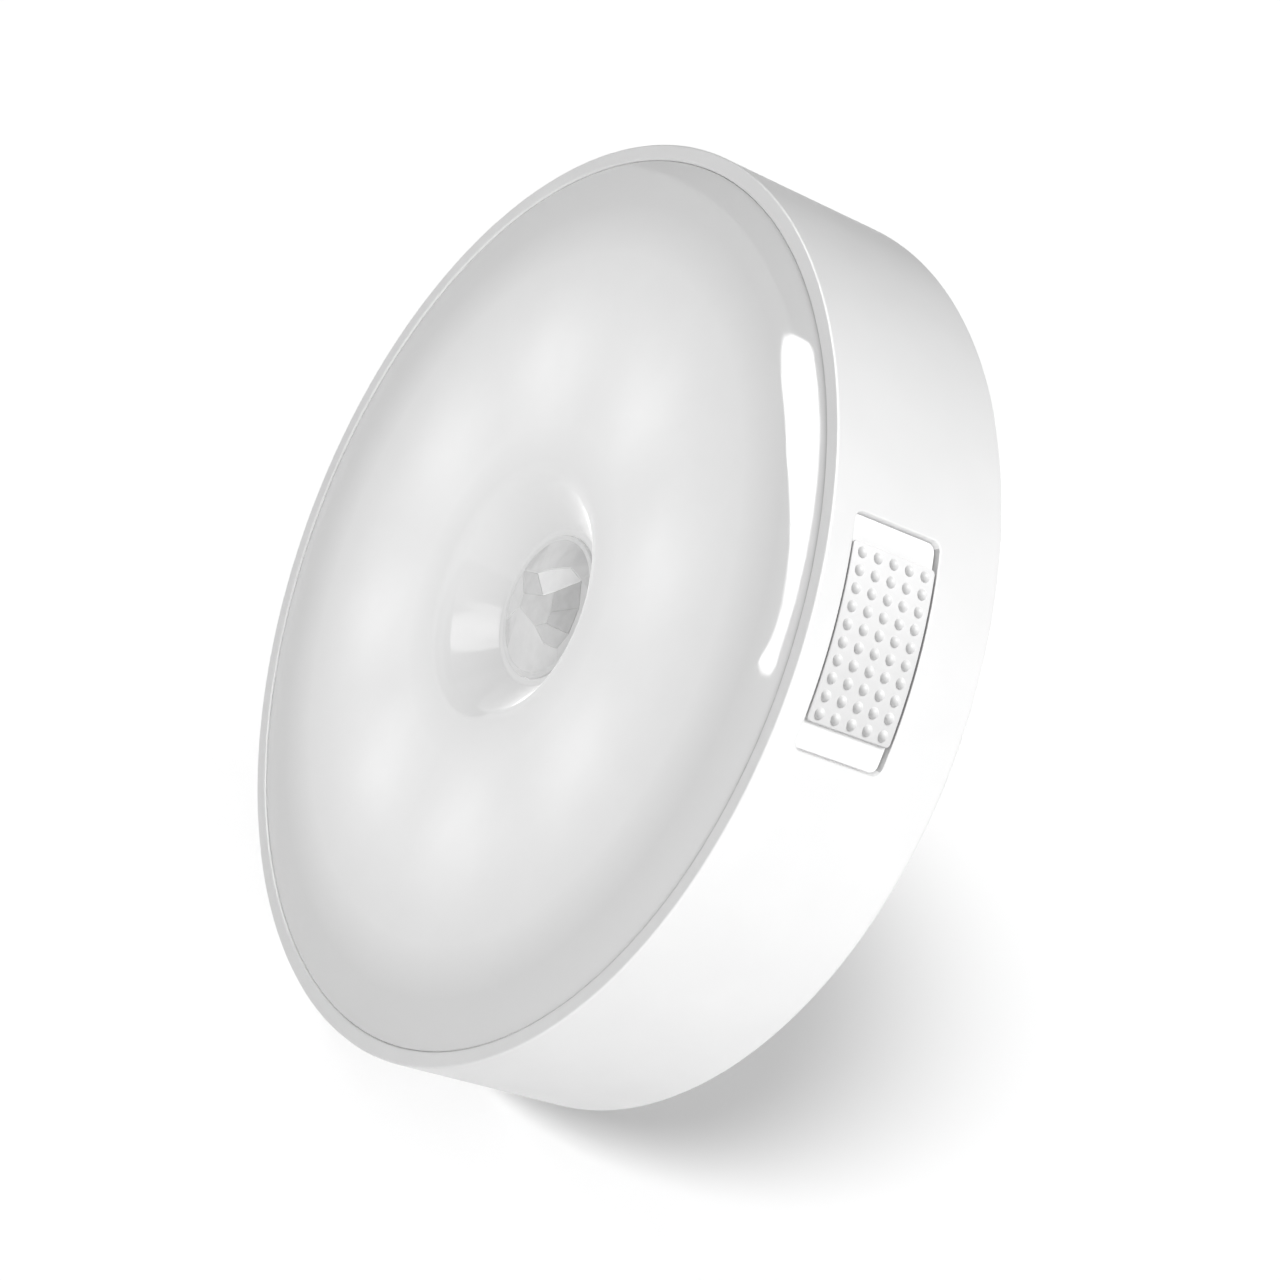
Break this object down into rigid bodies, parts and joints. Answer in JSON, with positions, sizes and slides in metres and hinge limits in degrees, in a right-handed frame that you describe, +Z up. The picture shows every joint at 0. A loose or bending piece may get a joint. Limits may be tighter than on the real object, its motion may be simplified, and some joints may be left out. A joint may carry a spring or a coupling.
{
  "type": "motion sensor night light",
  "caption": "Round battery night light with a frosted domed cover, a motion sensor lens sunk in its middle, a slide switch on the side and a flat magnetic back.",
  "frame": {"origin": "centre of the flat back, on the mounting face", "axes": "+Z up with the light on a wall, -Y out of its front, +Y into the wall. The charging port is at the bottom, the slide switch on the side wall 30 degrees above +X"},
  "size_m": [0.08, 0.0184, 0.08],
  "materials": {
    "white_shell": "smooth white, satin",
    "slider_white": "smooth white, satin, with small round bumps",
    "frosted": "frosted milky white, glossy outside",
    "lens_plastic": "milky white, faceted",
    "dark_plastic": "matt black",
    "can_metal": "plain metal can",
    "board_white": "white solder mask",
    "led_yellow": "yellow phosphor in a white body",
    "led_white": "pale phosphor",
    "screw_steel": "zinc plated",
    "cell_foil": "dull silver foil",
    "foam": "soft black foam",
    "red_wire": "red insulation",
    "black_wire": "black insulation",
    "magnet_nickel": "nickel plated",
    "port_steel": "stamped steel",
    "clear_plastic": "clear"
  },
  "bodies": {
    "light": {"housing": "white_shell", "diffuser_cover": "frosted", "pir_lens": "lens_plastic", "sensor_shroud": "dark_plastic", "pir_sensor": "can_metal", "light_board": "board_white", "led_1": "led_yellow", "led_2": "led_yellow", "led_3": "led_yellow", "led_4": "led_yellow", "led_5": "led_yellow", "led_6": "led_yellow", "led_7": "led_yellow", "led_8": "led_yellow", "board_screw_1": "screw_steel", "board_screw_2": "screw_steel", "board_screw_3": "screw_steel", "controller_chip": "dark_plastic", "charger_chip": "dark_plastic", "filter_capacitor": "can_metal", "daylight_sensor": "clear_plastic", "battery_cell": "cell_foil", "battery_pad": "foam", "battery_lead_positive": "red_wire", "battery_lead_negative": "black_wire", "magnet_upper": "magnet_nickel", "magnet_lower": "magnet_nickel", "charging_port": "port_steel", "port_tongue": "dark_plastic", "charge_indicator": "led_white", "indicator_pipe": "clear_plastic", "switch_body": "port_steel"},
    "slider": {"switch_slider": "slider_white", "switch_actuator": "dark_plastic"}
  },
  "joints": [
    {"name": "switch_slide", "type": "slide", "parent": "light", "child": "slider", "axis": [-0.5, 0, 0.866], "range_m": [-0.002, 0.002]}
  ]
}
